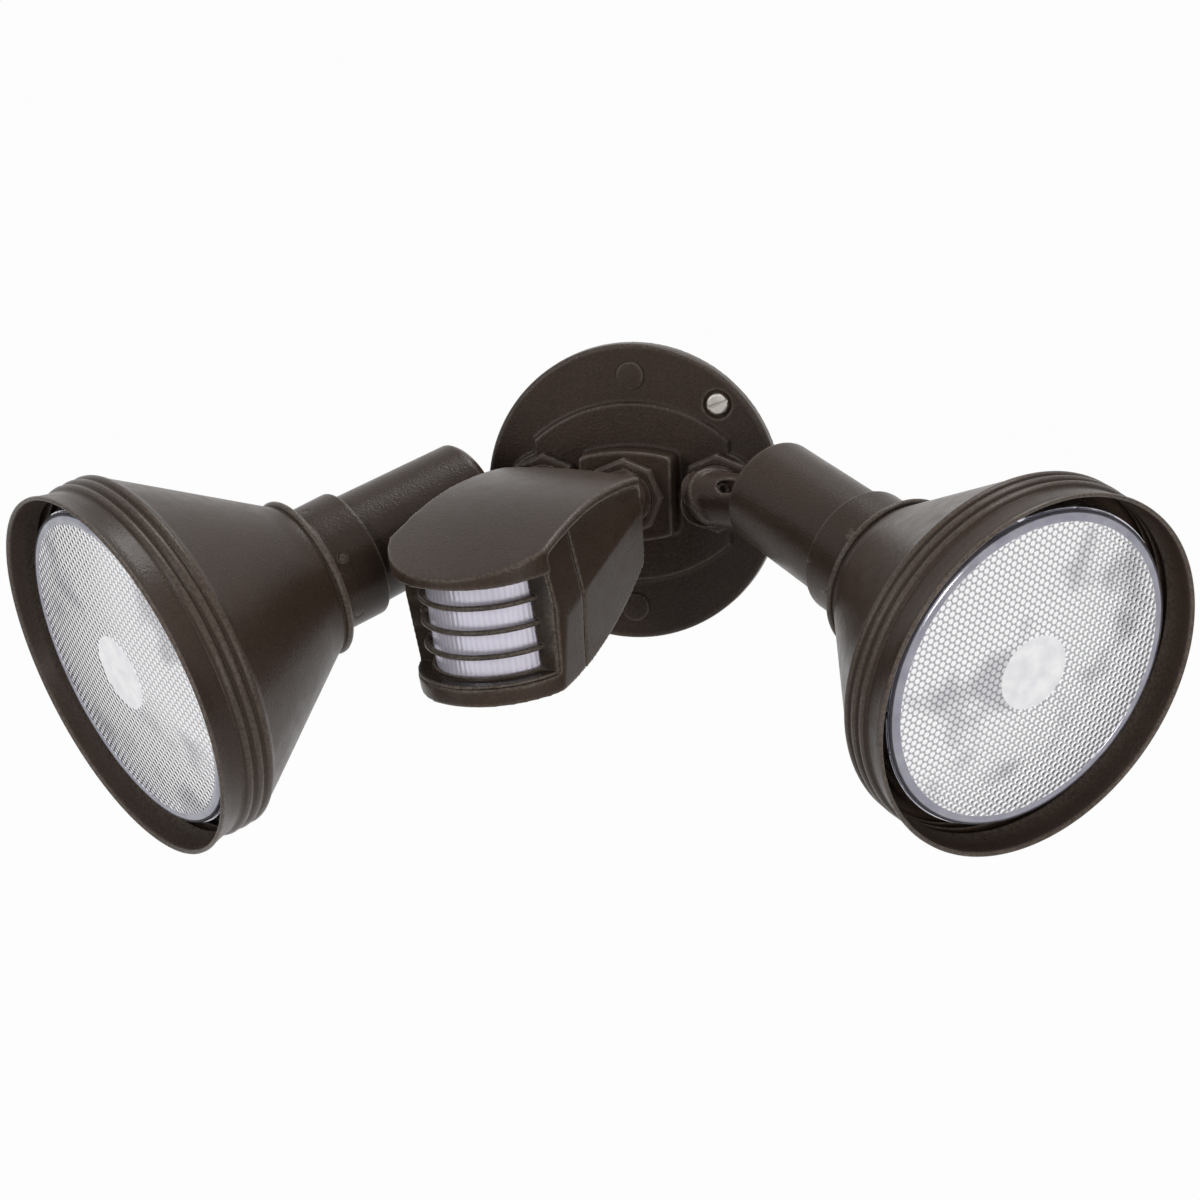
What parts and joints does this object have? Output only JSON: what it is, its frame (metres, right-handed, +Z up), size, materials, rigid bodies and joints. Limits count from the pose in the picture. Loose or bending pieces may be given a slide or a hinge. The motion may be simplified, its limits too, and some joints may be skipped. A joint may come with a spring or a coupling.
{
  "type": "motion sensor security light",
  "caption": "Twin-lamp outdoor security light: round wall plate, two flared shades with flood lamps, and a hooded motion sensor, all on swivel knuckles.",
  "frame": {"origin": "centre of the cover plate's wall face", "axes": "the wall is the XZ plane; the light reaches out along -Y, +X is to the right of someone who faces it, +Z up"},
  "size_m": [0.4245, 0.1913, 0.1677],
  "materials": {
    "bronze_paint": "satin dark bronze powder coat",
    "bronze_plastic": "satin dark bronze paint over plastic",
    "bezel_plastic": "satin dark bronze",
    "gasket_rubber": "matte black",
    "zinc_screw": "bright zinc plate",
    "dark_screw": "satin dark bronze",
    "socket_phenolic": "moulded black",
    "brass": "stamped and bright",
    "bulb_reflector": "aluminised inside, silvery from behind",
    "bulb_lens": "clear pressed glass with a lenslet pattern",
    "bulb_base": "rolled thread",
    "fresnel_lens": "milky moulded film with fine ribs",
    "circuit_board": "green solder resist",
    "metal_can": "drawn can",
    "photocell": "clear resin over the cell",
    "relay_case": "moulded",
    "capacitor_sleeve": "shrink sleeve",
    "dial_body": "moulded",
    "dial_knob": "moulded dark bronze"
  },
  "bodies": {
    "plate": {"cover_plate": "bronze_paint", "wall_gasket": "gasket_rubber", "hole_plugs": "bronze_paint", "box_screws": "zinc_screw", "stem_locknuts": "bronze_paint"},
    "lamp_arm_left": {"lamp_stem_left": "bronze_paint", "lamp_knuckle_screw_left": "dark_screw"},
    "lamp_head_left": {"lampholder_left": "bronze_paint", "socket_body_left": "socket_phenolic", "socket_screws_left": "zinc_screw", "socket_shell_left": "brass", "socket_contact_left": "brass", "shade_collar_left": "bronze_paint", "collar_screws_left": "dark_screw", "shade_left": "bronze_paint", "bulb_seal_left": "gasket_rubber", "bulb_reflector_left": "bulb_reflector", "bulb_lens_left": "bulb_lens", "bulb_base_left": "bulb_base"},
    "lamp_arm_right": {"lamp_stem_right": "bronze_paint", "lamp_knuckle_screw_right": "dark_screw"},
    "lamp_head_right": {"lampholder_right": "bronze_paint", "socket_body_right": "socket_phenolic", "socket_screws_right": "zinc_screw", "socket_shell_right": "brass", "socket_contact_right": "brass", "shade_collar_right": "bronze_paint", "collar_screws_right": "dark_screw", "shade_right": "bronze_paint", "bulb_seal_right": "gasket_rubber", "bulb_reflector_right": "bulb_reflector", "bulb_lens_right": "bulb_lens", "bulb_base_right": "bulb_base"},
    "sensor_arm": {"sensor_stem": "bronze_paint", "sensor_knuckle_screw": "dark_screw"},
    "sensor_head": {"sensor_rear_cover": "bronze_plastic", "sensor_front_housing": "bronze_plastic", "sensor_seam_seal": "gasket_rubber", "sensor_cover_screws": "zinc_screw", "lens_bezel": "bezel_plastic", "fresnel_lens": "fresnel_lens", "circuit_board": "circuit_board", "board_screws": "zinc_screw", "pir_detector": "metal_can", "photocell": "photocell", "relay": "relay_case", "capacitor": "capacitor_sleeve", "dial_bodies": "dial_body"},
    "time_dial": {"time_dial": "dial_knob"},
    "range_dial": {"range_dial": "dial_knob"}
  },
  "joints": [
    {"name": "lamp_swivel_left", "type": "hinge", "parent": "plate", "child": "lamp_arm_left", "pos_m": [-0.0315, -0.02283, 0], "axis": [0, -1, 0], "range_deg": [-25, 25]},
    {"name": "lamp_tilt_left", "type": "hinge", "parent": "lamp_arm_left", "child": "lamp_head_left", "pos_m": [-0.0315, -0.02283, 0], "axis": [-0.579, -0.7071, 0.4059], "range_deg": [-25, 15]},
    {"name": "lamp_swivel_right", "type": "hinge", "parent": "plate", "child": "lamp_arm_right", "pos_m": [0.0315, -0.02283, 0], "axis": [0, -1, 0], "range_deg": [-25, 25]},
    {"name": "lamp_tilt_right", "type": "hinge", "parent": "lamp_arm_right", "child": "lamp_head_right", "pos_m": [0.0315, -0.02283, 0], "axis": [0.5769, -0.7071, 0.4089], "range_deg": [-20, 25]},
    {"name": "sensor_swivel", "type": "hinge", "parent": "plate", "child": "sensor_arm", "pos_m": [0, -0.03483, 0], "axis": [0, -1, 0], "range_deg": [-25, 25]},
    {"name": "sensor_tilt", "type": "hinge", "parent": "sensor_arm", "child": "sensor_head", "pos_m": [0, -0.03483, 0], "axis": [-0.4768, -0.7071, 0.5222], "range_deg": [-15, 20]},
    {"name": "time_dial_turn", "type": "hinge", "parent": "sensor_head", "child": "time_dial", "pos_m": [-0.03714, -0.10308, -0.05341], "axis": [-0.0775, -0.1929, 0.9781], "range_deg": [-130, 130]},
    {"name": "range_dial_turn", "type": "hinge", "parent": "sensor_head", "child": "range_dial", "pos_m": [-0.02044, -0.1098, -0.05341], "axis": [-0.0775, -0.1929, 0.9781], "range_deg": [-130, 130]}
  ]
}
